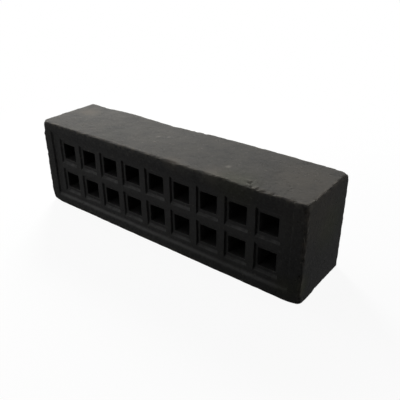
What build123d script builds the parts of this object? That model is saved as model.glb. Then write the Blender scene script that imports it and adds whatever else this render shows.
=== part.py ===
"""A fired clay air brick: one pressed piece with a framed front and stepped air passages right through it.

Frame: X runs along the brick, the grille looks towards -Y, and Z is up, with the origin at the middle of the
bed face that the brick lies on. All lengths are in millimetres.
"""

from build123d import *
import os

# The blank: a stretcher's length, one course high, half a brick's usual width deep
length = 215.0
height = 65.0
depth = 50.0
front_upright_radius = 2.0  # the two upright front edges, rounded where the brick leaves the die
arris_radius = 1.0  # every other outer edge

# The front: a raised rim around a sunk panel, its walls sloped more along the beds than at the ends
end_rim = 8.4  # rim width at the two ends
bed_rim = 6.8  # rim width along the top and the bottom
panel_recess = 1.5
panel_end_slope = 0.5  # how far the wall runs in from the rim's edge at the ends
panel_bed_slope = 1.5  # and along the beds
panel_corner_radius = 1.2
rim_radius = 0.4  # the rim's inner edge

# The grille: mouths sunk into the panel, each with a ledge around a square throat
mouth_width = 16.1  # at the panel
mouth_height = 18.6
mouth_recess = 1.5
mouth_side_slope = 0.25  # how far the mouth's upright walls run in
mouth_level_slope = 1.0  # and its sill and head
side_ledge = 1.75  # beside the throat
level_ledge = 2.25  # above and below it
throat_draft = 0.75  # degrees, wider towards the back, where the core pins drew out
upright_bar = 4.8  # between the mouths of one row
level_bar = 4.5  # between the rows
grille_margin = 2.0  # least panel left between the grille and the rim
cut_overrun = 2.0  # how far the throats' cut runs out past the back

# What follows from those sizes
panel_length = length - 2 * end_rim
panel_height = height - 2 * bed_rim
panel_floor_length = panel_length - 2 * panel_end_slope
panel_floor_height = panel_height - 2 * panel_bed_slope
column_pitch = mouth_width + upright_bar
row_pitch = mouth_height + level_bar
columns = int((panel_length - 2 * grille_margin + upright_bar) // column_pitch)
rows = int((panel_height - 2 * grille_margin + level_bar) // row_pitch)
ledge_width = mouth_width - 2 * mouth_side_slope
ledge_height = mouth_height - 2 * mouth_level_slope
throat_width = ledge_width - 2 * side_ledge
throat_height = ledge_height - 2 * level_ledge
throat_length = depth - panel_recess - mouth_recess

# Planes parallel to the front, each looking out of it: local x is X and local y is Z
front_plane = Plane(origin=(0, -depth / 2, height / 2), x_dir=(1, 0, 0), z_dir=(0, -1, 0))
panel_plane = front_plane.offset(-panel_recess)
ledge_plane = panel_plane.offset(-mouth_recess)

# One mouth as the die's pin leaves it, from the panel down to the ledge
with BuildPart() as mouth_pin:
    with BuildSketch():
        Rectangle(mouth_width, mouth_height)
    with BuildSketch(Plane.XY.offset(-mouth_recess)):
        Rectangle(ledge_width, ledge_height)
    loft()

with BuildPart() as air_brick:
    # The pressed blank
    with BuildSketch():
        Rectangle(length, depth)
    extrude(amount=height)
    uprights = air_brick.edges().filter_by(Axis.Z).group_by(Axis.Y)
    fillet(uprights[0], front_upright_radius)
    uprights = air_brick.edges().filter_by(Axis.Z).group_by(Axis.Y)
    fillet(uprights[-1], arris_radius)
    ends = air_brick.faces().filter_by(Axis.Z)
    fillet(ends.edges(), arris_radius)

    # The sunk panel, leaving the rim
    with BuildSketch(front_plane):
        RectangleRounded(panel_length, panel_height, panel_corner_radius)
    with BuildSketch(panel_plane):
        RectangleRounded(panel_floor_length, panel_floor_height, panel_corner_radius)
    loft(mode=Mode.SUBTRACT)
    rim_face = air_brick.faces().filter_by(Axis.Y).sort_by(Axis.Y)[0]
    fillet(rim_face.inner_wires()[0].edges(), rim_radius)

    # The mouths, down to their ledges
    with Locations(panel_plane):
        with GridLocations(column_pitch, row_pitch, columns, rows):
            add(mouth_pin.part, mode=Mode.SUBTRACT)

    # The throats, out through the back
    with BuildSketch(ledge_plane):
        with GridLocations(column_pitch, row_pitch, columns, rows):
            Rectangle(throat_width, throat_height)
    extrude(amount=-throat_length - cut_overrun, taper=-throat_draft, mode=Mode.SUBTRACT)

air_brick.part.label = "air_brick"
os.makedirs("parts", exist_ok=True)
export_step(air_brick.part, "parts/air_brick.step")

print(f"{columns} columns by {rows} rows, throat {throat_width:.2f} x {throat_height:.2f} mm, "
      f"volume {air_brick.part.volume:.0f} mm3")
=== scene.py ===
"""Dress the clay air brick: one weathered, fired piece with a framed grille of square air passages.

The brick's skin is worked out with numpy in millimetres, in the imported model's own axes: X along the brick,
-Y out of the grille, Z up from the lower bed. MM turns millimetres into the frame's metres.
"""

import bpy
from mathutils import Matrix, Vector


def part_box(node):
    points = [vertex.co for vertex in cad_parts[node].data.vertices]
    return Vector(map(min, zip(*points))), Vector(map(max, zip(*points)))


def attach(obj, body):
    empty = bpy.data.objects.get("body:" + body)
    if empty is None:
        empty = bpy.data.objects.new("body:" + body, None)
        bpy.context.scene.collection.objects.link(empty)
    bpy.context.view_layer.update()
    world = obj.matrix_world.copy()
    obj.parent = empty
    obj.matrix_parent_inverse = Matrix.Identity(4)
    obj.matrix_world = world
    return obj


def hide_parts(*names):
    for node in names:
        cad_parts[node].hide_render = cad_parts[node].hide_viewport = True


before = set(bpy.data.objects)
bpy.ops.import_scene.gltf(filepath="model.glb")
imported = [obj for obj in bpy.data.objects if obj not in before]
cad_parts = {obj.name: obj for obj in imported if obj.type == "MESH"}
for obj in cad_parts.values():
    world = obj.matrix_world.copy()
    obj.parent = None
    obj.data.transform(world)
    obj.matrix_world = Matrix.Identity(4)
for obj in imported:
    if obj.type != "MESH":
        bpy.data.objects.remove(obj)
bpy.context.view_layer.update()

import logging
import math
from collections.abc import Callable
from dataclasses import dataclass, field
from enum import Enum
from typing import Any, ClassVar

import bpy
import numpy as np
from mathutils import Matrix, Vector

MM = 0.001
LOG = logging.getLogger("air_brick")
Array = np.ndarray
Colour = tuple[float, float, float]
Place = tuple[float, float, float]
Range = tuple[float, float]
WHITE: Colour = (1.0, 1.0, 1.0)


class Seen(Enum):
    """The kinds of ray that look at the backdrop rather than carry light from it."""

    CAMERA = "Is Camera Ray"
    GLOSSY = "Is Glossy Ray"
    TRANSMISSION = "Is Transmission Ray"


class Mark(Enum):
    """The marks that the brick's skin carries for its finish, each a value from 0 to 1 at every point."""

    ARRIS = "arris"
    CHIPPED = "chipped"
    # Painted shade: the passages and the low front and right end darkened.
    SOOT = "soot"
    SUNK = "sunk"
    PALE = "pale"
    # Real staining, plus painted light at the right of the upper bed and high on the right end.
    STAINED = "stained"
    GREENED = "greened"


@dataclass(frozen=True)
class Patch:
    """A stretch of surface: its points in millimetres and the quads between them."""

    points: Array
    quads: Array


@dataclass(frozen=True)
class Span:
    """The front's layout along one axis, in millimetres.

    Attributes:
        low: The blank's lower limit.
        high: Its upper limit.
        rim: Width of the raised rim at both limits.
        rim_wall: How far the wall from the rim down to the panel runs in.
        rim_soft: How far each of that wall's two bends is eased to either side.
        pitch: Distance from one passage to the next.
        count: How many passages there are.
        mouth: Width of a mouth at the panel.
        mouth_wall: How far the wall from the panel down to the ledge runs in.
        mouth_soft: How far each of that wall's two bends is eased to either side.
        throat: Width of a throat at the ledge.
    """

    low: float
    high: float
    rim: float
    rim_wall: float
    rim_soft: float
    pitch: float
    count: int
    mouth: float
    mouth_wall: float
    mouth_soft: float
    throat: float

    def middles(self) -> Array:
        """Middle of each passage."""
        steps = np.arange(self.count) - (self.count - 1) / 2.0
        return (self.low + self.high) / 2.0 + steps * self.pitch

    def inside_rim(self, place: Array) -> Array:
        """Distance inside the rim's inner edge, negative on the rim."""
        return (self.high - self.low) / 2.0 - self.rim - np.abs(place - (self.low + self.high) / 2.0)

    def from_passage(self, place: Array) -> Array:
        """Distance from the middle of the nearest passage.

        The passage's number is the distance from the first one over the pitch, rounded and held to the count.

        Args:
            place: Places along the axis.

        Returns:
            One distance a place.
        """
        first = self.middles()[0]
        number = np.clip(np.round((place - first) / self.pitch), 0, self.count - 1)
        return np.abs(place - first - number * self.pitch)


@dataclass(frozen=True)
class Unevenness:
    """Smooth seeded noise: random values on a cubic lattice, eased between the lattice points.

    Attributes:
        seed: Seed of the lattice's random values.
        cell: Distance between lattice points, in millimetres.
        octaves: How many layers are added, each of half the cell and half the height of the one before.
    """

    seed: int
    cell: float
    octaves: int = 1

    LATTICE: ClassVar[int] = 32

    def at(self, points: Array) -> Array:
        """Value of the noise at each point.

        Each layer is moved on by a third of the lattice. It blends the eight lattice values around a point,
        weighted by the point's place t in the cell, eased as 6 t^5 - 15 t^4 + 10 t^3.

        Args:
            points: Points in millimetres, one row each.

        Returns:
            One value a point, about -1 to 1.
        """
        table = np.random.default_rng(self.seed).uniform(-1.0, 1.0, (self.LATTICE,) * 3)
        total = np.zeros(len(points))
        for octave in range(self.octaves):
            spot = points * 2.0**octave / self.cell + octave * self.LATTICE / 3.0
            base = np.floor(spot).astype(int)
            share = spot - base
            eased = share**3 * (share * (share * 6.0 - 15.0) + 10.0)
            for corner in np.ndindex(2, 2, 2):
                weight = np.where(np.array(corner), eased, 1.0 - eased).prod(axis=1)
                node = (base + corner) % self.LATTICE
                total += weight * table[node[:, 0], node[:, 1], node[:, 2]] / 2.0**octave
        return total


def faded(away: Array, reach: float) -> Array:
    """1 at no distance, easing to 0 at the reach: (1 - (distance / reach) squared) squared."""
    return np.clip(1.0 - (away / reach) ** 2, 0.0, None) ** 2


def stepped(value: Array, low: float, high: float) -> Array:
    """0 below low, 1 above high, and the smooth step 3 t squared - 2 t cubed between them."""
    share = np.clip((value - low) / (high - low), 0.0, 1.0)
    return share**2 * (3.0 - 2.0 * share)


@dataclass(frozen=True)
class WornEdge:
    """A straight stretch of edge that has lost clay unevenly, or one chip where both its ends are one place.

    Attributes:
        start: One end of the stretch, on the sharp edge.
        end: The other end.
        bite: How much the edge's rounding grows where the most is lost.
        reach: How far from the stretch the loss fades out.
        cell: Size of the flakes along the stretch, or 0 for an even loss.
        seed: Seed of the flakes.
        flake: How far the flakes cut into the faces beside the stretch.
    """

    start: Place
    end: Place
    bite: float
    reach: float
    cell: float = 0.0
    seed: int = 0
    flake: float = 0.0

    LAYERS: ClassVar[int] = 2
    BITTEN: ClassVar[Range] = (0.0, 0.4)
    SEED_STEP: ClassVar[int] = 100

    def nearness(self, points: Array) -> Array:
        """How near each point is to the stretch.

        The point's share along the stretch, held between 0 and 1, gives the nearest place on it, and the
        distance from there fades at the reach.

        Args:
            points: Points in millimetres, one row each.

        Returns:
            One value a point: 1 on the stretch and 0 from the reach outwards.
        """
        start = np.array(self.start)
        along = np.array(self.end) - start
        share = np.clip((points - start) @ along / max(along @ along, 1e-9), 0.0, 1.0)
        return faded(np.linalg.norm(points - start - share[:, None] * along, axis=1), self.reach)

    def at(self, points: Array) -> Array:
        """Extra rounding: the bite times the nearness and, where there are flakes, times their stepped noise.

        Args:
            points: Points in millimetres, one row each.

        Returns:
            The rounding added at each point.
        """
        lost = self.bite * self.nearness(points)
        if self.cell > 0.0:
            lost *= stepped(Unevenness(self.seed, self.cell, self.LAYERS).at(points), *self.BITTEN)
        return lost

    def shift(self, points: Array, middle: Array) -> Array:
        """How the flakes move each point.

        It goes in from each of the two faces that meet at the stretch, by the flake's depth times the
        nearness, times that face's own noise where it is above zero.

        Args:
            points: Points in millimetres, one row each.
            middle: The brick's middle, which tells the way in.

        Returns:
            One step a point.
        """
        if self.flake == 0.0:
            return np.zeros_like(points)
        start, end = np.array(self.start), np.array(self.end)
        inward = np.sign(middle - start) * (start == end)
        faces = [Unevenness(self.seed + self.SEED_STEP * axis, self.cell, self.LAYERS) for axis in (1, 2, 3)]
        noise = np.stack([face.at(points) for face in faces], axis=1)
        return inward * np.clip(noise, 0.0, None) * (self.flake * self.nearness(points))[:, None]


@dataclass(frozen=True)
class Blemish:
    """A grain that stands out of a face, a pit in it, a slow warp of it, or a stain, painted light or painted
    shade on it.

    Attributes:
        place: Its middle.
        out: Which way the face moves there.
        reach: How far from the middle it fades out.
        rise: How far the face moves out at the middle, negative for a pit.
        share: How much of the mark the middle takes.
        mark: Which mark that is.
    """

    place: Place
    out: Place
    reach: float
    rise: float
    share: float = 0.0
    mark: Mark = Mark.PALE

    def at(self, points: Array) -> Array:
        """How much of the blemish each point has, from 0 to 1."""
        return faded(np.linalg.norm(points - np.array(self.place), axis=1), self.reach)


def grid_quads(shape: tuple[int, int], flipped: bool = False, kept: Array | None = None) -> Array:
    """Quads of a grid of points.

    Args:
        shape: Number of points along the grid's first and second parameter.
        flipped: Turn the quads round, so that they look the other way.
        kept: Which cells have a quad, or None for all.

    Returns:
        Point numbers, four to a quad.
    """
    index = np.arange(shape[0] * shape[1]).reshape(shape)
    corners = [index[:-1, :-1], index[1:, :-1], index[1:, 1:], index[:-1, 1:]]
    quads = np.stack(corners[::-1] if flipped else corners, axis=-1)
    return quads[kept] if kept is not None else quads.reshape(-1, 4)


def grid_patch(points: Array, flipped: bool = False, kept: Array | None = None) -> Patch:
    """The patch of a grid of points, given as an array of two parameters and three coordinates."""
    return Patch(points.reshape(-1, 3), grid_quads(points.shape[:2], flipped, kept))


def filled_lines(marks: Array, spacing: float) -> Array:
    """Grid lines through all the marks, with even lines between them.

    Args:
        marks: Places that have to have a line, in any order. Those within a tenth of a micron are one.
        spacing: The most that two lines may be apart.

    Returns:
        The lines' places, rising.
    """
    marks = np.unique(np.round(marks, 4))
    counts = np.ceil(np.diff(marks) / spacing).astype(int)
    steps = np.concatenate([[0], np.cumsum(counts)])
    return np.interp(np.arange(steps[-1] + 1), steps, marks)


def rounded_ramp(inset: Array, width: float, radius: float) -> Array:
    """A ramp from 0 at an outline to 1 at a width inside it, with both bends eased.

    An eased bend is a parabola: (t + r) squared / 4r between -r and r, and t beyond. The ramp is the
    difference of two such bends, one at each end, divided by the width.

    Args:
        inset: Distance inside the outline.
        width: How far the ramp runs in.
        radius: How far each bend is eased to either side.

    Returns:
        The ramp's height at each place.
    """
    bends = [np.clip(t + radius, 0.0, 2.0 * radius) ** 2 / (4.0 * radius) + np.clip(t - radius, 0.0, None)
             for t in (inset, inset - width)]
    return (bends[0] - bends[1]) / width


def wall_lines(width: float, radius: float, tight: float = 0.2) -> Array:
    """Grid lines across a wall: on both bends and where their easing ends, but not inside a tight one."""
    inside = [radius, width - radius] if radius > tight else []
    return np.array([-radius, 0.0, *inside, width, width + radius])


class NodeSheet:
    """A node tree that is written one node at a time, each call returning the output that is asked for."""

    def __init__(self, tree: bpy.types.NodeTree) -> None:
        """Take over an empty tree."""
        self.tree = tree

    def add(self, kind: str, sockets: dict[Any, Any], out: Any = 0, **settings: Any) -> bpy.types.NodeSocket:
        """Add a node.

        Args:
            kind: The node's type name, without its ShaderNode prefix.
            sockets: What goes into each input, by name or number: another node's output, or a value.
            out: Name or number of the output to return.
            **settings: The node's own settings.

        Returns:
            The output asked for.
        """
        node = self.tree.nodes.new("ShaderNode" + kind)
        for name, value in settings.items():
            setattr(node, name, value)
        for name, value in sockets.items():
            if isinstance(value, bpy.types.NodeSocket):
                self.tree.links.new(value, node.inputs[name])
            else:
                node.inputs[name].default_value = value
        return node.outputs[out]

    def surface(self, kind: str, shader: bpy.types.NodeSocket) -> None:
        """Lead a shader into the tree's output node, of the Material or the World kind."""
        node = self.tree.nodes.new("ShaderNodeOutput" + kind)
        self.tree.links.new(shader, node.inputs["Surface"])

    def sums(self, operation: str, *values: Any) -> bpy.types.NodeSocket:
        """A Math node on one to three values."""
        return self.add("Math", dict(enumerate(values)), operation=operation)

    def times(self, *values: Any) -> bpy.types.NodeSocket:
        """The product of two or more values, two at a time.

        Args:
            *values: Outputs or numbers.

        Returns:
            The product's output.
        """
        product = values[0]
        for value in values[1:]:
            product = self.sums("MULTIPLY", product, value)
        return product

    def most(self, first: Any, second: Any) -> bpy.types.NodeSocket:
        """The larger of two values."""
        return self.sums("MAXIMUM", first, second)

    def blended(self, amount: Any, first: Any, second: Colour) -> bpy.types.NodeSocket:
        """The first colour turning into the second as the amount goes from 0 to 1."""
        return self.add("Mix", {0: amount, 6: first, 7: (*second, 1.0)}, out=2, data_type="RGBA")

    def ranged(self, value: Any, ends: tuple[Any, Any], to_ends: Range = (0.0, 1.0)) -> bpy.types.NodeSocket:
        """The value's range between the ends mapped to another range, eased and held at its ends."""
        sockets = dict(enumerate((value, *ends, *to_ends)))
        return self.add("MapRange", sockets, interpolation_type="SMOOTHSTEP")

    def placed(self, group: bpy.types.NodeTree, sockets: dict[str, Any]) -> bpy.types.NodeSocket:
        """A node group with its own values."""
        return self.add("Group", sockets, node_tree=group)


def new_group(name: str, inputs: dict[str, str], output: str) -> tuple[NodeSheet, Any, Any]:
    """Start a shader node group with one output.

    Args:
        name: The group's name.
        inputs: Socket type of each named input.
        output: Name of its output, a value.

    Returns:
        The group's sheet, its inputs' sockets by name, and the socket that its result goes into.
    """
    tree = bpy.data.node_groups.new(name, "ShaderNodeTree")
    for label, kind in inputs.items():
        tree.interface.new_socket(name=label, in_out="INPUT", socket_type=kind)
    tree.interface.new_socket(name=output, in_out="OUTPUT", socket_type="NodeSocketFloat")
    start = tree.nodes.new("NodeGroupInput")
    end = tree.nodes.new("NodeGroupOutput")
    return NodeSheet(tree), start.outputs, end.inputs[output]


def patches_group(roughness: float = 0.6) -> bpy.types.NodeTree:
    """Uneven patches: layered noise on the given coordinates, cut to a soft-edged mask between Low and High.

    Args:
        roughness: How much of each layer the next finer one has.

    Returns:
        The node group, which puts out Mask.
    """
    inputs = {"Vector": "NodeSocketVector", "Scale": "NodeSocketFloat", "Detail": "NodeSocketFloat",
              "Low": "NodeSocketFloat", "High": "NodeSocketFloat"}
    sheet, given, result = new_group("clay_patches", inputs, "Mask")
    noise = sheet.add("TexNoise", {"Vector": given["Vector"], "Scale": given["Scale"],
                                   "Detail": given["Detail"], "Roughness": roughness})
    mask = sheet.ranged(noise, (given["Low"], given["High"]))
    sheet.tree.links.new(mask, result)
    return sheet.tree


def specks_group(finer: float = 3.0, lift: float = 0.5, edge: float = 0.12) -> bpy.types.NodeTree:
    """Scattered specks: a spot in each cell of a Voronoi pattern whose random value is under Share.

    A spot is as large as Size times another of the cell's random values times a ragged noise. Its mask rises
    from 0 where the distance from the cell's point is that size.

    Args:
        finer: Scale of the ragged noise over that of the cells.
        lift: What is added to the ragged noise, which is about a half.
        edge: How far inside its size a spot's mask is full, in cells.

    Returns:
        The node group, which puts out Mask.
    """
    inputs = {"Vector": "NodeSocketVector", "Scale": "NodeSocketFloat", "Size": "NodeSocketFloat",
              "Share": "NodeSocketFloat"}
    sheet, given, result = new_group("clay_specks", inputs, "Mask")
    cell = sheet.add("TexVoronoi", {"Vector": given["Vector"], "Scale": given["Scale"]})
    chance = sheet.add("SeparateColor", {0: cell.node.outputs["Color"]})
    kept = sheet.sums("LESS_THAN", chance, given["Share"])
    scale = sheet.times(given["Scale"], finer)
    ragged = sheet.add("TexNoise", {"Vector": given["Vector"], "Scale": scale, "Detail": 2.0})
    size = sheet.times(given["Size"], chance.node.outputs[1], sheet.sums("ADD", ragged, lift))
    spot = sheet.ranged(sheet.sums("SUBTRACT", size, cell), (0.0, edge))
    sheet.tree.links.new(sheet.times(spot, kept), result)
    return sheet.tree


@dataclass(frozen=True)
class Mottle:
    """A layer of uneven patches: its scale and detail, and the noise values between which its mask rises."""

    scale: float
    detail: float
    low: float
    high: float


@dataclass(frozen=True)
class Scatter:
    """A layer of specks: the scale of its cells, the size of a speck and the share of cells that have one."""

    scale: float
    size: float
    share: float


@dataclass(frozen=True)
class Grit:
    """A layer of relief: the scale, detail and roughness of its noise."""

    scale: float
    detail: float
    roughness: float


class ClaySheet(NodeSheet):
    """The node tree of a clay finish, with what its layers read from the surface."""

    def __init__(self, tree: bpy.types.NodeTree) -> None:
        """Take over an empty tree, and read the place, how far the surface looks up, and the mesh's marks.

        Args:
            tree: The material's tree.
        """
        super().__init__(tree)
        self.patches = patches_group()
        self.specks = specks_group()
        self.place = self.add("TexCoord", {}, out="Object")
        self.facing = self.add("SeparateXYZ", {0: self.place.node.outputs["Normal"]}, out="Z")
        self.level = self.add("SeparateXYZ", {0: self.place}, out="Z")
        self.marks = {mark: self.add("Attribute", {}, out="Fac", attribute_name=mark.value) for mark in Mark}

    def mottled(self, layer: Mottle) -> bpy.types.NodeSocket:
        """The mask of a layer of uneven patches."""
        return self.placed(self.patches, {"Vector": self.place, "Scale": layer.scale, "Detail": layer.detail,
                                          "Low": layer.low, "High": layer.high})

    def scattered(self, layer: Scatter) -> bpy.types.NodeSocket:
        """The mask of a layer of specks."""
        return self.placed(self.specks, {"Vector": self.place, "Scale": layer.scale, "Size": layer.size,
                                         "Share": layer.share})

    def relief(self, layer: Grit) -> bpy.types.NodeSocket:
        """The height of a layer of relief."""
        return self.add("TexNoise", {"Vector": self.place, "Scale": layer.scale, "Detail": layer.detail,
                                     "Roughness": layer.roughness})


@dataclass(frozen=True)
class FiredClay:
    """The brick's finish: blue-black fired clay, mottled, paled on its upper faces and up-facing slopes, partly
    dusty and partly painted light, darkened by painted shade in its passages and low on the front and the right
    end, and rubbed at its edges.

    Colours come first, then the layers that spread them, and then how much of each layer shows and where. A
    facing is the upward part of the surface's direction, and a level is a height in metres.
    """

    deep: Colour = (0.0600, 0.0601, 0.0597)
    pale: Colour = (0.1072, 0.1073, 0.1064)
    # Upper-bed paling: partly dusty, partly painted light from above on the top face.
    dust_and_top_light: Colour = (0.142, 0.136, 0.124)
    # Up-facing slopes and the lowest sill: partly dusty, partly painted light on faces that look up.
    slope_dust_and_light: Colour = (0.194, 0.194, 0.192)
    warm: Colour = (0.150, 0.138, 0.121)
    cool: Colour = (0.092, 0.099, 0.088)
    greened: Colour = (0.112, 0.118, 0.080)
    bared: Colour = (0.135, 0.116, 0.096)
    rubbed: Colour = (0.195, 0.180, 0.155)
    grain: Colour = (0.270, 0.255, 0.225)
    pit: Colour = (0.030, 0.029, 0.027)
    # Painted shade: darkens the passages and the low front and right end.
    soot: Colour = (0.030, 0.030, 0.029)

    broad_tone: Mottle = Mottle(34.0, 5.0, 0.30, 0.70)
    fine_tone: Mottle = Mottle(700.0, 4.0, 0.32, 0.70)
    top_dust_and_light: Mottle = Mottle(90.0, 8.0, 0.05, 0.68)
    slope_dust_and_light_patches: Mottle = Mottle(230.0, 6.0, 0.18, 0.66)
    warm_areas: Mottle = Mottle(26.0, 4.0, 0.48, 0.74)
    warm_cover: Mottle = Mottle(160.0, 4.0, 0.15, 0.55)
    cool_areas: Mottle = Mottle(21.0, 4.0, 0.50, 0.74)
    edge_rubs: Mottle = Mottle(330.0, 3.0, 0.44, 0.62)
    edge_breaks: Mottle = Mottle(120.0, 5.0, 0.30, 0.62)
    grain_clusters: Mottle = Mottle(420.0, 3.0, 0.60, 0.72)
    grain_specks: Scatter = Scatter(330.0, 0.34, 0.12)
    pit_clusters: Mottle = Mottle(380.0, 3.0, 0.60, 0.72)
    pit_specks: Scatter = Scatter(280.0, 0.26, 0.10)
    gritty: Grit = Grit(1100.0, 4.0, 0.65)
    lumps: Grit = Grit(260.0, 4.0, 0.6)

    fine_share: float = 0.7
    top_paling_share: float = 0.65
    top_paling_facing: Range = (0.75, 0.98)
    top_paling_level: Range = (0.055, 0.060)
    panel_share: float = 0.5
    slope_dust_and_light_share: float = 0.8
    slope_dust_and_light_facing: Range = (0.15, 0.6)
    flat_facing: Range = (0.8, 0.95)
    sill_level: Range = (0.009, 0.011)
    warm_share: float = 0.5
    cool_share: float = 0.25
    rub_share: float = 0.75
    break_share: float = 0.6
    grain_share: float = 0.25
    pit_facing: Range = (0.5, 1.0)
    pit_shares: Range = (0.35, 0.12)
    painted_shade_share: float = 0.85
    grit_height: float = 0.40
    pit_height: float = -0.8
    bump_strength: float = 0.5
    bump_distance: float = 0.0005
    roughness: Range = (0.78, 0.92)
    specular: float = 0.03

    def material(self) -> bpy.types.Material:
        """The finish as a material on the object's coordinates and the marks that the mesh carries.

        Returns:
            The material.
        """
        clay = bpy.data.materials.new("fired_clay")
        clay.use_nodes = True
        clay.node_tree.nodes.clear()
        sheet = ClaySheet(clay.node_tree)
        broad = sheet.times(sheet.mottled(self.broad_tone), 1.0 - self.fine_share)
        tone = sheet.sums("MULTIPLY_ADD", sheet.mottled(self.fine_tone), self.fine_share, broad)
        # The upper bed is paled, partly dusty and partly painted light from above.
        bed = sheet.times(sheet.ranged(sheet.facing, self.top_paling_facing),
                          sheet.ranged(sheet.level, self.top_paling_level))
        top_paling = sheet.times(bed, sheet.mottled(self.top_dust_and_light), self.top_paling_share)
        pits = sheet.most(sheet.scattered(self.pit_specks), sheet.mottled(self.pit_clusters))
        colour = sheet.blended(tone, (*self.deep, 1.0), self.pale)
        colour = self.dust_and_painted_light(sheet, colour, top_paling)
        colour = self.tinted(sheet, colour, top_paling)
        colour = self.worn(sheet, colour)
        colour = self.grained(sheet, colour, pits)
        rough = sheet.ranged(tone, (0.0, 1.0), self.roughness)
        shader = sheet.add("BsdfPrincipled", {"Base Color": colour, "Roughness": rough,
                                              "Normal": self.relief(sheet, pits),
                                              "Specular IOR Level": self.specular})
        sheet.surface("Material", shader)
        return clay

    def dust_and_painted_light(self, sheet: ClaySheet, colour: Any, top_paling: Any) -> bpy.types.NodeSocket:
        """The colour paled, partly dusty and partly painted light: on the upper bed, on up-facing slopes and
        over the whole lowest sill. The sunk panel is paled too.

        A slope looks up more than a wall and less than a bed.

        Args:
            sheet: The material's sheet.
            colour: The colour so far.
            top_paling: How much the upper bed is paled, partly dusty and partly painted light from above.

        Returns:
            The new colour.
        """
        # Painted light, with some dusting: the upper bed paler.
        colour = sheet.blended(top_paling, colour, self.dust_and_top_light)
        # The sunk panel and its ledges are made paler than the rim.
        colour = sheet.blended(sheet.times(sheet.marks[Mark.SUNK], self.panel_share), colour, self.pale)
        # Painted light, with some dusting: up-facing slopes and the whole lowest sill paler.
        slope = sheet.times(sheet.ranged(sheet.facing, self.slope_dust_and_light_facing),
                            sheet.ranged(sheet.facing, self.flat_facing, (1.0, 0.0)))
        uneven = sheet.times(sheet.mottled(self.slope_dust_and_light_patches), self.slope_dust_and_light_share)
        slope_dust_and_light_mask = sheet.most(uneven, sheet.ranged(sheet.level, self.sill_level, (1.0, 0.0)))
        return sheet.blended(sheet.times(slope, slope_dust_and_light_mask), colour, self.slope_dust_and_light)

    def tinted(self, sheet: ClaySheet, colour: Any, top_paling: Any) -> bpy.types.NodeSocket:
        """The colour with its warm staining, partly painted light at the right of the upper bed and high on the
        right end, its cool areas and its green growth.

        Args:
            sheet: The material's sheet.
            colour: The colour so far.
            top_paling: How much the upper bed is paled, partly dusty and partly painted light, which takes the
                warm areas.

        Returns:
            The new colour.
        """
        areas = sheet.times(sheet.mottled(self.warm_areas), top_paling, self.warm_share)
        # Painted light, beside real staining: the mark also pales the right of the upper bed and the top of the
        # right end.
        warm = sheet.most(areas, sheet.marks[Mark.STAINED])
        colour = sheet.blended(sheet.times(warm, sheet.mottled(self.warm_cover)), colour, self.warm)
        cool = sheet.times(sheet.mottled(self.cool_areas), self.cool_share)
        colour = sheet.blended(cool, colour, self.cool)
        return sheet.blended(sheet.marks[Mark.GREENED], colour, self.greened)

    def worn(self, sheet: ClaySheet, colour: Any) -> bpy.types.NodeSocket:
        """The colour with its edges rubbed pale in places, and bare clay where they have broken.

        Args:
            sheet: The material's sheet.
            colour: The colour so far.

        Returns:
            The new colour.
        """
        rubs = sheet.times(sheet.marks[Mark.ARRIS], sheet.mottled(self.edge_rubs), self.rub_share)
        colour = sheet.blended(rubs, colour, self.rubbed)
        breaks = sheet.times(sheet.marks[Mark.CHIPPED], sheet.mottled(self.edge_breaks), self.break_share)
        return sheet.blended(breaks, colour, self.bared)

    def grained(self, sheet: ClaySheet, colour: Any, pits: Any) -> bpy.types.NodeSocket:
        """The colour with pale grains, dark pits, which show more on walls than on beds, and painted shade in
        the passages and low on the front and the right end.

        Args:
            sheet: The material's sheet.
            colour: The colour so far.
            pits: Where the pits are.

        Returns:
            The new colour.
        """
        grains = sheet.most(sheet.scattered(self.grain_specks), sheet.mottled(self.grain_clusters))
        showing = sheet.most(sheet.times(grains, self.grain_share), sheet.marks[Mark.PALE])
        colour = sheet.blended(showing, colour, self.grain)
        pitted = sheet.times(pits, sheet.ranged(sheet.facing, self.pit_facing, self.pit_shares))
        colour = sheet.blended(pitted, colour, self.pit)
        # Painted shade: darker in the passages and low on the front and the right end.
        return sheet.blended(sheet.times(sheet.marks[Mark.SOOT], self.painted_shade_share), colour, self.soot)

    def relief(self, sheet: ClaySheet, pits: Any) -> bpy.types.NodeSocket:
        """The surface's direction over its relief: lumps, plus grit and pits, each times its height.

        Args:
            sheet: The material's sheet.
            pits: Where the pits are.

        Returns:
            The direction.
        """
        lumps, gritty = sheet.relief(self.lumps), sheet.relief(self.gritty)
        height = sheet.sums("MULTIPLY_ADD", gritty, self.grit_height, lumps)
        height = sheet.sums("MULTIPLY_ADD", pits, self.pit_height, height)
        return sheet.add("Bump", {"Strength": self.bump_strength, "Distance": self.bump_distance,
                                  "Height": height}, out="Normal")


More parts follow.
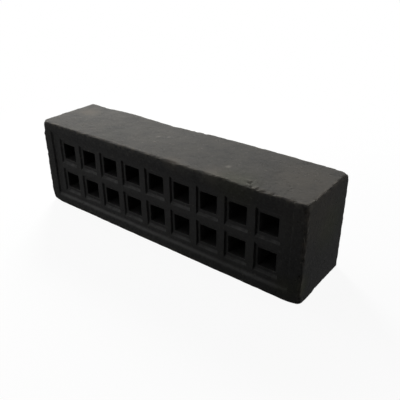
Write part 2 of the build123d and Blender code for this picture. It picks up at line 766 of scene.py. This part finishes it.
@dataclass
class AirBrick:
    """The brick: a worn blank, a raised rim round a sunk panel, and stepped passages through to the back.

    Sizes are in millimetres. The blank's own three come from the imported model. The pressed shape comes first,
    then the grid that it is drawn on, and then its wear and its marks.
    """

    length: float
    depth: float
    height: float
    finish: FiredClay

    arris: float = 0.85
    front_upright: float = 1.1
    end_rim: float = 8.4
    bed_rim: float = 6.1
    end_wall: float = 0.5
    end_soft: float = 0.15
    bed_wall: float = 2.4
    bed_soft: float = 0.95
    panel_recess: float = 1.5
    mouth_width: float = 16.1
    mouth_height: float = 18.6
    mouth_side_wall: float = 0.25
    mouth_side_soft: float = 0.1
    mouth_level_wall: float = 1.0
    mouth_level_soft: float = 0.48
    mouth_recess: float = 1.5
    throat_side: float = 12.1
    throat_growth: float = 1.2
    throat_bevel: float = 0.25
    column_pitch: float = 20.9
    row_pitch: float = 23.1
    columns: int = 9
    rows: int = 2

    spacing: float = 1.25
    edge_steps: tuple[float, ...] = (0.0, 0.3, 0.7, 1.2, 1.8, 2.6, 3.8, 5.2)
    throat_spacing: float = 2.5
    throat_crowding: float = 1.25
    weld_cells: float = 1000.0
    weld_offsets: Range = (0.5, 0.25)
    sharp_angle: float = 30.0

    upright_reach: float = 6.0
    corner_wear: float = 2.4
    corner_reach: float = 6.5
    rub: float = 0.25
    rub_noise: Unevenness = Unevenness(12, 3.0, 2)
    nick: float = 0.7
    nick_noise: Unevenness = Unevenness(11, 6.0, 2)
    nick_range: Range = (0.5, 0.8)
    spared_reach: float = 8.0
    spared_rub: float = 0.6
    waviness: float = 0.14
    waves: tuple[Unevenness, ...] = tuple(Unevenness(seed, 34.0, 2) for seed in (21, 22, 23))
    ripple: float = 0.11
    ripples: tuple[Unevenness, ...] = tuple(Unevenness(seed, 4.0, 2) for seed in (31, 32, 33))
    left_dip: float = 0.6
    dip_start: float = 0.1
    dip_power: float = 1.3
    dip_rise_power: float = 3.0
    bed_ease: float = 3.0

    arris_reach: float = 3.0
    # How the painted shade rises and falls along a throat.
    shade_rise: float = 4.0
    shade_fall: float = 8.0
    sunk_rise: float = 3.0
    sunk_behind: float = 1.0
    touch: float = 0.001

    along: Span = field(init=False)
    upward: Span = field(init=False)
    worn_edges: list[WornEdge] = field(init=False)
    blemishes: list[Blemish] = field(init=False)

    def __post_init__(self) -> None:
        """Work out the front's two spans, and list where the edges are worn and the faces blemished."""
        self.along = Span(-self.length / 2.0, self.length / 2.0, self.end_rim, self.end_wall, self.end_soft,
                          self.column_pitch, self.columns, self.mouth_width, self.mouth_side_wall,
                          self.mouth_side_soft, self.throat_side)
        self.upward = Span(0.0, self.height, self.bed_rim, self.bed_wall, self.bed_soft,
                           self.row_pitch, self.rows, self.mouth_height, self.mouth_level_wall,
                           self.mouth_level_soft, self.throat_side)
        self.worn_edges = self.list_worn_edges()
        self.blemishes = self.list_blemishes()

    def corners(self) -> tuple[Array, Array]:
        """The blank's lowest and highest corner."""
        right, back = self.length / 2.0, self.depth / 2.0
        return np.array([-right, -back, 0.0]), np.array([right, back, self.height])

    def list_worn_edges(self) -> list[WornEdge]:
        """Where the outer edges have lost clay.

        Returns:
            The flaked stretches, and then the single chips and short breaks.
        """
        (left, front, _), (right, back, top) = self.corners()
        flaked = [
            WornEdge((right, front, 4.0), (right, front, top), 1.2, 3.5, 2.6, 41, 1.0),
            WornEdge((right, front, top), (right, back, top), 0.7, 3.0, 1.8, 42, 0.5),
            WornEdge((right, back, 4.0), (right, back, top), 0.7, 4.0, 4.5, 43, 0.2),
            WornEdge((left, front, 8.0), (left, front, top), 0.6, 3.5, 4.0, 44, 0.3),
            WornEdge((60.0, front, top), (right, front, top), 0.5, 3.0, 2.4, 45, 0.2),
            WornEdge((left, back, 0.0), (left, back, 55.0), 1.0, 4.0, 4.5, 46, 0.5),
            WornEdge((left, back, 0.0), (right, back, 0.0), 1.0, 4.0, 5.0, 47, 0.4),
            WornEdge((left, front, top), (left, 18.0, top), 0.4, 3.5, 4.0, 48, 0.05),
            WornEdge((-60.0, front, top), (60.0, front, top), 0.5, 3.0, 3.0, 49, 0.25),
            WornEdge((-100.0, back, top), (right, back, top), 0.15, 3.0, 4.0, 50, 0.05)]
        chipped = [
            WornEdge((17.0, front, top), (19.0, front, top), 0.9, 3.0),
            WornEdge((38.0, front, top), (42.0, front, top), 0.7, 2.8),
            WornEdge((48.0, front, top), (48.0, front, top), 0.6, 2.5),
            WornEdge((78.6, front, top), (78.6, front, top), 1.1, 2.8),
            WornEdge((right, back, top), (right, back, top), 1.6, 5.0),
            WornEdge((left, front, 58.5), (left, front, top), 3.0, 4.0)]
        return flaked + chipped

    def list_blemishes(self) -> list[Blemish]:
        """Where the faces have grains, pits, warps, staining, painted light and painted shade.

        Returns:
            The upper bed's grains and pits, then those near the edges, the warps, and the staining, painted
            light and painted shade.
        """
        (_, front, _), (right, back, top) = self.corners()
        up, onward, aslant = (0.0, 0.0, 1.0), (1.0, 0.0, 0.0), (1.0, -0.4, 0.0)
        bed_grains = [
            Blemish((-11.3, 5.0, top), up, 1.8, 0.25, 0.60),
            Blemish((-17.3, 1.7, top), up, 2.2, 0.20, 0.50),
            Blemish((-12.8, -7.2, top), up, 1.8, 0.20, 0.36),
            Blemish((47.6, -10.2, top), up, 2.6, 0.35, 0.65),
            Blemish((68.7, -19.7, top), up, 2.4, -1.2),
            Blemish((67.3, -17.6, top), up, 1.9, 0.3, 0.48),
            Blemish((-74.6, -14.7, top), up, 2.0, -0.4)]
        front_edge_notches = [
            Blemish((72.2, -23.6, top), up, 1.8, -0.8),
            Blemish((74.2, -22.8, top), up, 1.6, 0.2, 0.35),
            Blemish((76.4, -24.0, top), up, 1.7, -0.8),
            Blemish((79.0, -23.0, top), up, 1.6, 0.2, 0.30),
            Blemish((81.0, -23.8, top), up, 1.8, -0.7),
            Blemish((86.2, -24.0, top), up, 1.8, -0.7),
            Blemish((18.0, front, 63.4), (0.0, -1.0, 0.4), 2.0, 0.4, 0.45),
            Blemish((24.0, -24.5, top), up, 12.0, 0.0, 0.13),
            Blemish((44.0, -24.0, top), up, 10.0, 0.0, 0.13),
            Blemish((101.0, front, 64.0), up, 3.0, 0.0, 0.35)]
        right_end_grains = [
            Blemish((right, -22.5, 63.0), (0.6, 0.0, 0.6), 3.2, 0.0, 0.40),
            Blemish((right, -24.0, 57.0), aslant, 3.4, 0.3, 0.26),
            Blemish((right, -23.4, 51.0), aslant, 2.0, 0.5, 0.30),
            Blemish((right, -22.5, 45.5), aslant, 2.2, 0.6, 0.36),
            Blemish((right, -24.2, 34.0), aslant, 3.0, 0.3, 0.22),
            Blemish((right, -19.8, 25.4), onward, 2.8, 0.5, 0.25),
            Blemish((right, -22.6, 16.8), aslant, 3.0, 0.6, 0.30),
            Blemish((right, -24.2, 9.5), aslant, 3.4, 0.3, 0.26),
            Blemish((right, -15.5, 64.6), up, 2.2, 0.2, 0.32),
            Blemish((right, -4.0, 64.6), up, 2.4, 0.2, 0.30),
            Blemish((right, 8.5, 64.6), up, 2.6, 0.2, 0.40),
            Blemish((right, 14.5, 64.6), up, 2.2, 0.2, 0.36)]
        warps = [
            Blemish((-88.0, back, top), up, 28.0, -0.6),
            Blemish((-32.0, back, top), up, 45.0, -0.9),
            Blemish((-17.0, back, top), up, 32.0, -0.35),
            Blemish((42.0, back, top), up, 30.0, 0.6),
            Blemish((right, back, 24.0), onward, 34.0, 0.6),
            Blemish((right, front, 4.0), aslant, 26.0, 0.7)]
        stains_light_and_shade = [
            Blemish((-93.0, 9.0, top), up, 13.0, 0.0, 0.80, Mark.STAINED),
            Blemish((15.0, -22.0, top), up, 9.0, 0.0, 0.7, Mark.STAINED),
            Blemish((45.0, -21.0, top), up, 12.0, 0.0, 0.8, Mark.STAINED),
            # Painted light: the right of the upper bed made paler.
            Blemish((92.0, 2.0, top), up, 30.0, 0.0, 0.6, Mark.STAINED),
            # Painted light: the upper part of the right end made paler.
            Blemish((right, -8.0, 58.0), onward, 36.0, 0.0, 0.5, Mark.STAINED),
            # Painted shade: darker low on the right end and low on the front towards the right.
            Blemish((right, -12.0, 4.0), onward, 42.0, 0.0, 0.26, Mark.SOOT),
            Blemish((98.0, front, 6.0), aslant, 40.0, 0.0, 0.38, Mark.SOOT),
            Blemish((52.0, front, 1.0), aslant, 36.0, 0.0, 0.28, Mark.SOOT),
            Blemish((right, -23.0, 13.0), aslant, 10.0, 0.0, 0.6, Mark.GREENED),
            Blemish((97.0, front, 9.0), aslant, 11.0, 0.0, 0.5, Mark.GREENED),
            Blemish((right, 6.0, 40.0), onward, 22.0, 0.0, 0.4, Mark.GREENED),
            Blemish((62.0, front, 62.0), aslant, 22.0, 0.0, 0.4, Mark.GREENED)]
        return bed_grains + front_edge_notches + right_end_grains + warps + stains_light_and_shade

    def front_depth(self, x: Array, z: Array) -> Array:
        """How far the front lies behind the rim.

        It is the panel's recess times the lesser of two rounded ramps of the distance inside the rim, one
        from the ends and one from the beds, plus the mouth's recess times the lesser of two such ramps of the
        distance inside the nearest mouth, plus a small bevel at the throat's edge.

        Args:
            x: Places along the brick.
            z: Places up it, which broadcast with x.

        Returns:
            One depth a place.
        """
        panels, mouths = [], []
        for span, place in ((self.along, x), (self.upward, z)):
            panels.append(rounded_ramp(span.inside_rim(place), span.rim_wall, span.rim_soft))
            inside = span.mouth / 2.0 - span.from_passage(place)
            mouths.append(rounded_ramp(inside, span.mouth_wall, span.mouth_soft))
        return (self.panel_recess * np.minimum(*panels) + self.mouth_recess * np.minimum(*mouths)
                + self.bevel(self.throat_inset(x, z, self.throat_side)))

    def back_depth(self, x: Array, z: Array) -> Array:
        """How far the back lies from its own plane, as a step along Y: only the bevel round each passage."""
        return -self.bevel(self.throat_inset(x, z, self.throat_side + self.throat_growth))

    def bevel(self, inset: Array) -> Array:
        """Depth of the bevel just outside a throat's edge: a straight ramp as wide as it is deep."""
        return np.clip(inset + self.throat_bevel, 0.0, self.throat_bevel)

    def throat_inset(self, x: Array, z: Array, side: float) -> Array:
        """Distance inside the nearest throat's outline, negative outside it."""
        return side / 2.0 - np.maximum(self.along.from_passage(x), self.upward.from_passage(z))

    def lines_across(self, span: Span) -> Array:
        """Grid lines along one axis of the front: close at every bend, and at most the spacing apart between.

        Args:
            span: The front's layout along that axis.

        Returns:
            The lines' places, rising.
        """
        wall = span.rim + wall_lines(span.rim_wall, span.rim_soft)
        step = wall_lines(span.mouth_wall, span.mouth_soft) - span.mouth / 2.0
        lip = np.array([-self.throat_bevel, 0.0]) - span.throat / 2.0
        inward = np.concatenate([np.array(self.edge_steps), wall])
        around = np.concatenate([step, -step, lip, -lip])
        places = [span.low + inward, span.high - inward, (span.middles()[:, None] + around).ravel()]
        return filled_lines(np.concatenate(places), self.spacing)

    def fanned(self, lines: Array, span: Span) -> Array:
        """The front's grid lines as they meet the back, where the passages are wider.

        Each throat edge moves out by half the growth, and the lines between follow in proportion.

        Args:
            lines: The front's lines.
            span: The front's layout along their axis.

        Returns:
            The back's lines, as many as the front's.
        """
        half = span.throat / 2.0
        edges = np.sort(np.concatenate([span.middles() - half, span.middles() + half]))
        moved = edges + np.tile([-0.5, 0.5], span.count) * self.throat_growth
        from_lines = np.concatenate([[span.low], edges, [span.high]])
        to_lines = np.concatenate([[span.low], moved, [span.high]])
        return np.interp(lines, from_lines, to_lines)

    def plain_radius(self, points: Array) -> Array:
        """Rounding of the blank's edges as it was pressed and handled.

        It is the arris, plus what the front uprights have more, plus the wear of the lower front corners.
        Those two fall off as e to the minus square of the distance over their reach.

        Args:
            points: Points of the sharp blank, one row each.

        Returns:
            The rounding at each point.
        """
        from_upright = np.hypot(self.length / 2.0 - np.abs(points[:, 0]), points[:, 1] + self.depth / 2.0)
        from_corner = np.hypot(from_upright, points[:, 2])
        upright = (self.front_upright - self.arris) * np.exp(-((from_upright / self.upright_reach) ** 2))
        corner = self.corner_wear * np.exp(-((from_corner / self.corner_reach) ** 2))
        return self.arris + upright + corner

    def lost_radius(self, points: Array) -> Array:
        """Rounding added by wear.

        It is a rub that follows one noise, plus nicks where another is high, plus the worn edges' own. The
        lower front edge is spared all the nicks and a part of the rub.

        Args:
            points: Points of the sharp blank, one row each.

        Returns:
            The rounding added at each point.
        """
        spared = faded(np.hypot(points[:, 1] + self.depth / 2.0, points[:, 2]), self.spared_reach)
        lost = self.rub * np.abs(self.rub_noise.at(points)) * (1.0 - self.spared_rub * spared)
        lost += self.nick * stepped(self.nick_noise.at(points), *self.nick_range) * (1.0 - spared)
        for edge in self.worn_edges:
            lost += edge.at(points)
        return lost

    def rounded(self, points: Array) -> Array:
        """Points of the sharp blank moved on to its rounded edges.

        Each point is held inside the blank less the rounding on every side, and then put back out from there
        by the rounding: on a face that is where it was, near an edge it lies on a cylinder, and at a corner
        on a ball.

        Args:
            points: Points of the sharp blank, one row each.

        Returns:
            The moved points.
        """
        radius = (self.plain_radius(points) + self.lost_radius(points))[:, None]
        low, high = self.corners()
        core = np.clip(points, low + radius, high - radius)
        out = points - core
        return core + radius * out / np.linalg.norm(out, axis=1)[:, None]

    def rounded_grid(self, x: Array, y: Array, z: Array) -> Array:
        """A grid of points of the sharp blank, from coordinates that broadcast, on its rounded edges."""
        grid = np.stack(np.broadcast_arrays(x, y, z), axis=-1)
        return self.rounded(grid.reshape(-1, 3)).reshape(grid.shape)

    def face_points(self, x: Array, z: Array, y: float, sunk: Callable[[Array, Array], Array]) -> Array:
        """Points of the front or the back: a grid on the rounded blank, moved along Y by the sunk depth.

        Args:
            x: The grid's lines along the brick.
            z: Its lines up it.
            y: The face's plane.
            sunk: Gives the step along Y at each place.

        Returns:
            The grid's points.
        """
        points = self.rounded_grid(x[:, None], y, z[None, :])
        points[..., 1] += sunk(x[:, None], z[None, :])
        return points

    def patches(self) -> list[Patch]:
        """The whole skin: front, back, two beds, two ends and the passages' walls, all on shared grid lines.

        The lines of the beds and the ends go from the front's to the back's in proportion to the depth.

        Returns:
            The skin's patches, which meet point on point.
        """
        (left, front_y, floor), (right, back_y, top) = self.corners()
        front_x, front_z = self.lines_across(self.along), self.lines_across(self.upward)
        back_x, back_z = self.fanned(front_x, self.along), self.fanned(front_z, self.upward)
        steps = np.array(self.edge_steps)
        deep = filled_lines(np.concatenate([front_y + steps, back_y - steps]), self.spacing)
        share = (deep - front_y) / self.depth
        fan_x = front_x[:, None] + (back_x - front_x)[:, None] * share
        fan_z = front_z + share[:, None] * (back_z - front_z)
        front = self.face_points(front_x, front_z, front_y, self.front_depth)
        back = self.face_points(back_x, back_z, back_y, self.back_depth)
        mid_x, mid_z = (front_x[1:] + front_x[:-1]) / 2.0, (front_z[1:] + front_z[:-1]) / 2.0
        solid = self.throat_inset(mid_x[:, None], mid_z[None, :], self.throat_side) < 0.0
        skin = [grid_patch(front, kept=solid), grid_patch(back, flipped=True, kept=solid)]
        for z, flipped in ((floor, True), (top, False)):
            skin.append(grid_patch(self.rounded_grid(fan_x, deep[None, :], z), flipped))
        for x, flipped in ((left, True), (right, False)):
            skin.append(grid_patch(self.rounded_grid(x, deep[:, None], fan_z), flipped))
        return skin + self.passage_patches(front_x, front_z, front, back)

    def passage_patches(self, x: Array, z: Array, front: Array, back: Array) -> list[Patch]:
        """The passages' walls: each throat's outline, carried straight from the front's grid to the back's.

        Lines along a wall crowd towards the front, as a power of their share of the way.

        Args:
            x: The front's grid lines along the brick.
            z: Its grid lines up it.
            front: The front's points.
            back: The back's points.

        Returns:
            One patch a passage.
        """
        share = np.linspace(0.0, 1.0, int(self.depth / self.throat_spacing)) ** self.throat_crowding
        sides = np.array([-0.5, 0.5]) * self.throat_side - self.touch
        walls = []
        for column in self.along.middles():
            for row in self.upward.middles():
                left, right = np.searchsorted(x, column + sides)
                foot, head = np.searchsorted(z, row + sides)
                wide, tall = np.arange(left, right + 1), np.arange(foot, head + 1)
                i = np.concatenate([wide, np.full(len(tall), right), wide[::-1], np.full(len(tall), left)])
                k = np.concatenate([np.full(len(wide), foot), tall, np.full(len(wide), head), tall[::-1]])
                start, end = front[i, k], back[i, k]
                walls.append(grid_patch(start[:, None] + (end - start)[:, None] * share[None, :, None]))
        return walls

    def welded(self) -> tuple[Array, Array]:
        """The skin as one closed mesh.

        Points in the same cell of a fine lattice are merged, then again on the lattice moved by a part of a
        cell, for those on a cell's border. Quads that lost a side and points that no quad uses are dropped.

        Returns:
            The points, and the quads between them.
        """
        skin = self.patches()
        starts = np.cumsum([0] + [len(patch.points) for patch in skin[:-1]])
        points = np.concatenate([patch.points for patch in skin])
        quads = np.concatenate([patch.quads + start for patch, start in zip(skin, starts)])
        for offset in self.weld_offsets:
            cells = np.floor(points * self.weld_cells + offset).astype(np.int64)
            _, first, index = np.unique(cells, axis=0, return_index=True, return_inverse=True)
            points, quads = points[first], index.reshape(-1)[quads]
        sides = quads != np.roll(quads, 1, axis=1)
        used, corners = np.unique(quads[sides.all(axis=1)], return_inverse=True)
        return points[used], corners.reshape(-1, 4)

    def marks(self, points: Array) -> dict[Mark, Array]:
        """The marks for the finish.

        The arris is 1 on an outer edge and falls to 0 at its reach, chipped is the clay lost there, the painted
        shade rises over the first few millimetres of a throat and falls again at the back, sunk is 1 in the
        panel, and a blemish's own mark is the most of any such blemish.

        Args:
            points: Points of the skin before it is weathered, one row each.

        Returns:
            One value a point for each mark.
        """
        x, y, z = points.T
        low, high = self.corners()
        away = np.sort((high - low) / 2.0 - np.abs(points - (low + high) / 2.0), axis=1)
        arris = np.clip(1.0 - away[:, 1] / self.arris_reach, 0.0, 1.0)
        ledge = low[1] + self.panel_recess + self.mouth_recess + self.throat_bevel
        within = self.throat_inset(x, z, self.throat_side + self.throat_growth) > -self.touch
        rising = np.clip((y - ledge) / self.shade_rise, 0.0, 1.0)
        falling = np.clip((high[1] - y) / self.shade_fall, 0.0, 1.0)
        framed = np.minimum(self.along.inside_rim(x), self.upward.inside_rim(z))
        sunk = np.clip((framed - self.bed_wall) / self.sunk_rise, 0.0, 1.0) * (y < ledge + self.sunk_behind)
        marks = {mark: np.zeros(len(points)) for mark in Mark}
        marks[Mark.ARRIS] = arris
        marks[Mark.CHIPPED] = np.clip(self.lost_radius(points), 0.0, 1.0) * arris
        # Painted shade inside the throats, strongest past the ledge and fading at the back.
        marks[Mark.SOOT] = rising * falling * within
        marks[Mark.SUNK] = sunk
        for blemish in self.blemishes:
            marks[blemish.mark] = np.maximum(marks[blemish.mark], blemish.share * blemish.at(points))
        return marks

    def weathered(self, points: Array) -> Array:
        """Points moved by the brick's own unevenness.

        The step is slow waves plus ripples, each with one noise an axis, plus the blemishes' rise and the
        edges' flakes. The upper face also dips to the left end, as a power of the way there. The upward step
        fades to 0 at the bed that the brick lies on, and all points are held inside the blank's box.

        Args:
            points: Points of the skin, one row each.

        Returns:
            The moved points.
        """
        low, high = self.corners()
        shift = (self.waviness * np.stack([noise.at(points) for noise in self.waves], axis=1)
                 + self.ripple * np.stack([noise.at(points) for noise in self.ripples], axis=1))
        for blemish in self.blemishes:
            shift += blemish.rise * blemish.at(points)[:, None] * np.array(blemish.out)
        for edge in self.worn_edges:
            shift += edge.shift(points, (low + high) / 2.0)
        leftwards = np.clip(-points[:, 0] / self.length - self.dip_start, 0.0, None) / (0.5 - self.dip_start)
        upwards = points[:, 2] / self.height
        shift[:, 2] -= self.left_dip * leftwards**self.dip_power * upwards**self.dip_rise_power
        shift[:, 2] *= np.clip(points[:, 2] / self.bed_ease, 0.0, 1.0)
        return np.clip(points + shift, low, high)

    def build(self) -> bpy.types.Object:
        """Make the brick's mesh, dress it, and let it stand for the CAD node.

        Returns:
            The brick's object, riding on the root body.
        """
        points, quads = self.welded()
        marks = self.marks(points)
        points = self.weathered(points)
        mesh = bpy.data.meshes.new("air_brick_skin")
        mesh.from_pydata((points * MM).tolist(), [], quads.tolist())
        mesh.polygons.foreach_set("use_smooth", np.ones(len(quads), bool))
        for mark, values in marks.items():
            layer = mesh.attributes.new(mark.value, "FLOAT", "POINT")
            layer.data.foreach_set("value", values.astype(np.float32))
        mesh.set_sharp_from_angle(angle=math.radians(self.sharp_angle))
        mesh.materials.append(self.finish.material())
        brick = bpy.data.objects.new("air_brick_skin", mesh)
        bpy.context.scene.collection.objects.link(brick)
        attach(brick, "root")
        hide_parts("air_brick")
        LOG.info("%s: %d points, %d quads", brick.name, len(points), len(quads))
        return brick


@dataclass(frozen=True)
class SoftBox:
    """A square lamp: its power in watts, its width in metres, and its place and aim in millimetres."""

    name: str
    power: float
    width: float
    place: Place
    aim: Place


@dataclass
class Studio:
    """The plain room: a white floor to the horizon, soft lamps round the brick, and a camera.

    Places are in millimetres, in the brick's frame, and the floor's sizes and the near limit in metres.
    """

    eye: Place = (201.9, -236.3, 192.2)
    aim: Place = (16.31, 2.88, 26.79)
    roll: float = -0.44
    lens: float = 46.28
    near_limit: float = 0.01
    floor_half: float = 4.0
    floor_bounce: float = 0.03
    shadow_share: float = 0.07
    shadow_reach: Range = (0.11, 0.34)
    soft_boxes: tuple[SoftBox, ...] = (
        SoftBox("key_light", 4.75, 0.18, (-405.0, 365.0, 405.0), (-40.0, 0.0, 50.0)),
        SoftBox("over_light", 0.9, 0.18, (-420.0, -20.0, 430.0), (-40.0, 0.0, 50.0)),
        SoftBox("near_light", 0.078, 0.15, (-110.0, -270.0, 130.0), (-20.0, -25.0, 33.0)),
        SoftBox("low_light", 0.058, 0.30, (-60.0, -500.0, 60.0), (-20.0, -25.0, 33.0)))
    fill_strength: float = 0.50
    fill_spread: float = 50.0
    fill_from: Place = (1.0, 0.5, 0.4)

    def background_share(self, sheet: NodeSheet) -> bpy.types.NodeSocket:
        """1 for rays that look at the backdrop, 0 for those that carry its light.

        Args:
            sheet: The sheet of the material or the world that asks.

        Returns:
            The share's output.
        """
        path = sheet.add("LightPath", {}).node
        camera, glossy, through = (path.outputs[kind.value] for kind in Seen)
        return sheet.most(sheet.most(camera, glossy), through)

    def paper(self) -> bpy.types.Material:
        """The floor's paper: white to look at, but dark in the light that it sends back up.

        What is seen is plain white, less a share round the brick in which the paper is lit by the lamps, so
        that it takes the brick's shadow.

        Returns:
            The material.
        """
        paper = bpy.data.materials.new("floor_paper")
        paper.use_nodes = True
        paper.node_tree.nodes.clear()
        sheet = NodeSheet(paper.node_tree)
        looking = self.background_share(sheet)
        bounce = (self.floor_bounce, self.floor_bounce, self.floor_bounce, 1.0)
        lit = sheet.add("BsdfDiffuse", {"Color": sheet.blended(looking, bounce, WHITE)})
        plain = sheet.add("Emission", {"Color": (*WHITE, 1.0), "Strength": 1.0})
        place = sheet.add("TexCoord", {}, out="Object")
        away = sheet.add("VectorMath", {0: place}, out="Value", operation="LENGTH")
        shaded = sheet.ranged(away, self.shadow_reach, (self.shadow_share, 0.0))
        shown = sheet.times(looking, sheet.sums("SUBTRACT", 1.0, shaded))
        sheet.surface("Material", sheet.add("MixShader", {0: shown, 1: lit, 2: plain}))
        return paper

    def build_floor(self) -> bpy.types.Object:
        """The floor: one square of the paper, under the brick.

        Returns:
            The floor's object.
        """
        half = self.floor_half
        corners = [(-half, -half, 0.0), (half, -half, 0.0), (half, half, 0.0), (-half, half, 0.0)]
        mesh = bpy.data.meshes.new("floor")
        mesh.from_pydata(corners, [], [(0, 1, 2, 3)])
        mesh.materials.append(self.paper())
        floor = bpy.data.objects.new("floor", mesh)
        bpy.context.scene.collection.objects.link(floor)
        return floor

    def build_world(self) -> None:
        """The surroundings: white to look at, and without light of their own on the brick."""
        world = bpy.data.worlds.new("studio")
        world.use_nodes = True
        world.node_tree.nodes.clear()
        sheet = NodeSheet(world.node_tree)
        back = sheet.add("Background", {"Color": (*WHITE, 1.0), "Strength": self.background_share(sheet)})
        sheet.surface("World", back)
        bpy.context.scene.world = world

    def build_light(self, name: str, kind: str, strength: float, source: Vector,
                    aim: Vector) -> bpy.types.Object:
        """A lamp looking from its source to its aim.

        Args:
            name: The light's name.
            kind: Its type, AREA or SUN.
            strength: Its strength, in watts for an area and watts a square metre for a sun.
            source: Where it stands.
            aim: Where it looks.

        Returns:
            The light's object.
        """
        lamp = bpy.data.lights.new(name, kind)
        lamp.energy = strength
        light = bpy.data.objects.new(name, lamp)
        light.location = source
        light.rotation_euler = (source - aim).to_track_quat("Z", "Y").to_euler()
        bpy.context.scene.collection.objects.link(light)
        return light

    def build_lights(self) -> None:
        """The soft boxes over the left end and before the grille, and a weak sun from behind on the right."""
        for box in self.soft_boxes:
            source, aim = Vector(box.place) * MM, Vector(box.aim) * MM
            light = self.build_light(box.name, "AREA", box.power, source, aim)
            light.data.size = box.width
        fill = self.build_light("fill_light", "SUN", self.fill_strength, Vector(self.fill_from), Vector())
        fill.data.angle = math.radians(self.fill_spread)

    def build_camera(self) -> bpy.types.Object:
        """The camera, at the place and with the lens that the brick's corners give.

        It looks along -Z from the eye to the aim, and is then rolled round that line.

        Returns:
            The camera's object.
        """
        lens = bpy.data.cameras.new("camera")
        lens.lens = self.lens
        lens.clip_start = self.near_limit
        camera = bpy.data.objects.new("camera", lens)
        eye, aim = Vector(self.eye) * MM, Vector(self.aim) * MM
        level = (aim - eye).to_track_quat("-Z", "Y").to_matrix()
        turn = level @ Matrix.Rotation(math.radians(self.roll), 3, "Z")
        camera.matrix_world = Matrix.Translation(eye) @ turn.to_4x4()
        bpy.context.scene.collection.objects.link(camera)
        bpy.context.scene.camera = camera
        return camera

    def build(self) -> None:
        """Set up the floor, the light and the camera."""
        bpy.context.scene.view_settings.view_transform = "Standard"
        self.build_floor()
        self.build_world()
        self.build_lights()
        self.build_camera()
        LOG.info("studio ready")


def main() -> None:
    """Build the brick and the studio."""
    logging.basicConfig(level=logging.INFO, format="%(name)s: %(message)s")
    low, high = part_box("air_brick")
    length, depth, height = (high - low) / MM
    AirBrick(length, depth, height, FiredClay()).build()
    Studio().build()
    bpy.context.view_layer.update()


if __name__ == "__main__":
    main()
